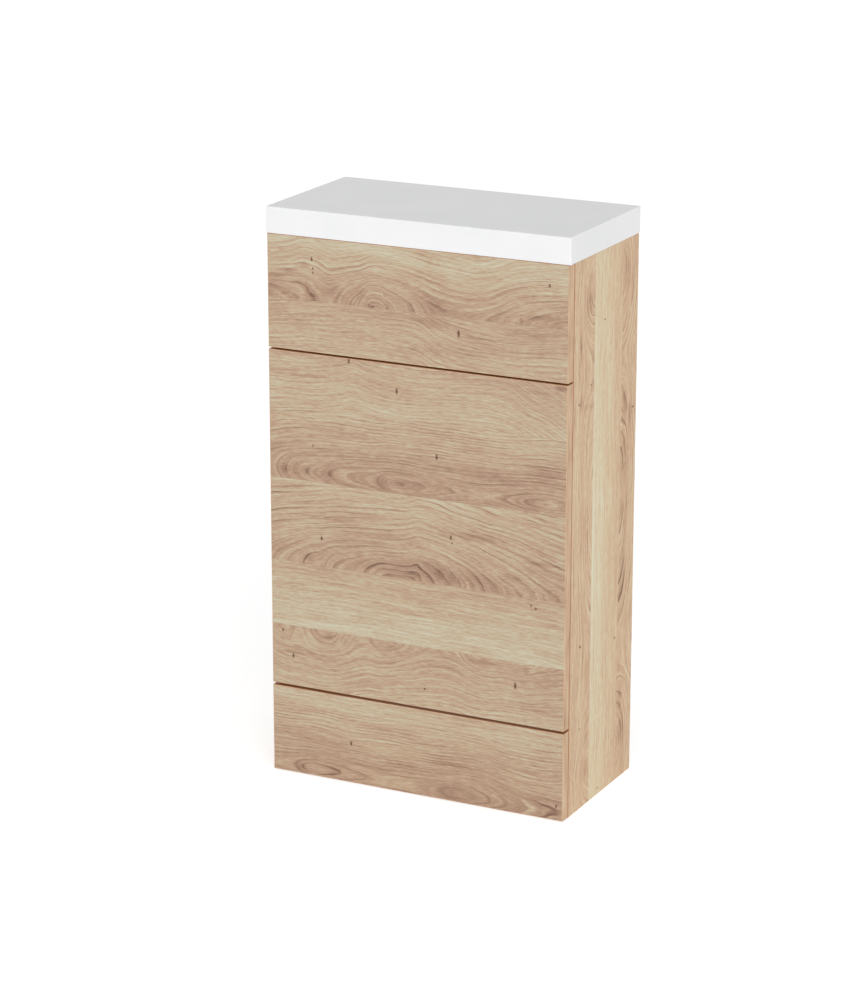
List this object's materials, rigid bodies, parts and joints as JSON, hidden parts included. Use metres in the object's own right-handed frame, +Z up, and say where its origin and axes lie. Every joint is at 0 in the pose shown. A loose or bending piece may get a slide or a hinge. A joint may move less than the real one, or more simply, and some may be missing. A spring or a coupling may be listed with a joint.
{
  "type": "toilet furniture unit",
  "caption": "Slim back-to-wall toilet cabinet: oak-effect gables and stacked fascia boards under a plain white worktop, open at the back for a hidden cistern.",
  "frame": {"origin": "on the floor, midway between the two sides and midway between front and back", "axes": "+Z up, the front with the fascias faces -Y, the wall side faces +Y, +X to the right seen from the front"},
  "size_m": [0.504, 0.255, 0.905],
  "materials": {
    "oak_fascia": "oak-effect foil, horizontal grain, satin",
    "oak_carcass": "oak-effect foil, vertical grain, satin",
    "oak_edging": "oak-effect edging strip, satin",
    "white_top": "white cast mineral resin, satin",
    "zinc_fittings": "zinc-plated, satin",
    "steel_fittings": "bright steel, satin",
    "white_plastic": "moulded, matt white",
    "grey_plastic": "moulded, matt grey",
    "dowel_beech": "plain turned beech"
  },
  "bodies": {
    "carcass": {"middle_fascia": "oak_fascia", "lower_fascia": "oak_fascia", "middle_fascia_edging": "oak_edging", "lower_fascia_edging": "oak_edging", "left_gable": "oak_carcass", "right_gable": "oak_carcass", "left_gable_edging": "oak_edging", "right_gable_edging": "oak_edging", "top_front_rail": "oak_carcass", "middle_front_rail": "oak_carcass", "lower_front_rail": "oak_carcass", "top_rear_rail": "oak_carcass", "worktop_pegs": "dowel_beech", "cam_discs": "zinc_fittings", "cam_bolts": "zinc_fittings", "wooden_dowels": "dowel_beech", "clip_sockets": "white_plastic", "fascia_buffers": "grey_plastic", "fixing_blocks": "white_plastic", "wall_brackets": "steel_fittings", "foot_brackets": "steel_fittings", "foot_nuts": "steel_fittings"},
    "worktop": {"worktop": "white_top"},
    "upper_fascia": {"upper_fascia": "oak_fascia", "upper_fascia_edging": "oak_edging", "clip_studs": "white_plastic"},
    "foot_front_left": {"foot_stem_front_left": "zinc_fittings", "foot_pad_front_left": "grey_plastic"},
    "foot_front_right": {"foot_stem_front_right": "zinc_fittings", "foot_pad_front_right": "grey_plastic"},
    "foot_rear_left": {"foot_stem_rear_left": "zinc_fittings", "foot_pad_rear_left": "grey_plastic"},
    "foot_rear_right": {"foot_stem_rear_right": "zinc_fittings", "foot_pad_rear_right": "grey_plastic"}
  },
  "joints": [
    {"name": "worktop_lift", "type": "slide", "parent": "carcass", "child": "worktop", "axis": [0, 0, 1], "range_m": [0, 0.06]},
    {"name": "upper_fascia_pull", "type": "slide", "parent": "carcass", "child": "upper_fascia", "axis": [0, -1, 0], "range_m": [0, 0.05]},
    {"name": "foot_screw_front_left", "type": "slide", "parent": "carcass", "child": "foot_front_left", "axis": [0, 0, -1], "range_m": [0, 0.012]},
    {"name": "foot_screw_front_right", "type": "slide", "parent": "carcass", "child": "foot_front_right", "axis": [0, 0, -1], "range_m": [0, 0.012]},
    {"name": "foot_screw_rear_left", "type": "slide", "parent": "carcass", "child": "foot_rear_left", "axis": [0, 0, -1], "range_m": [0, 0.012]},
    {"name": "foot_screw_rear_right", "type": "slide", "parent": "carcass", "child": "foot_rear_right", "axis": [0, 0, -1], "range_m": [0, 0.012]}
  ]
}
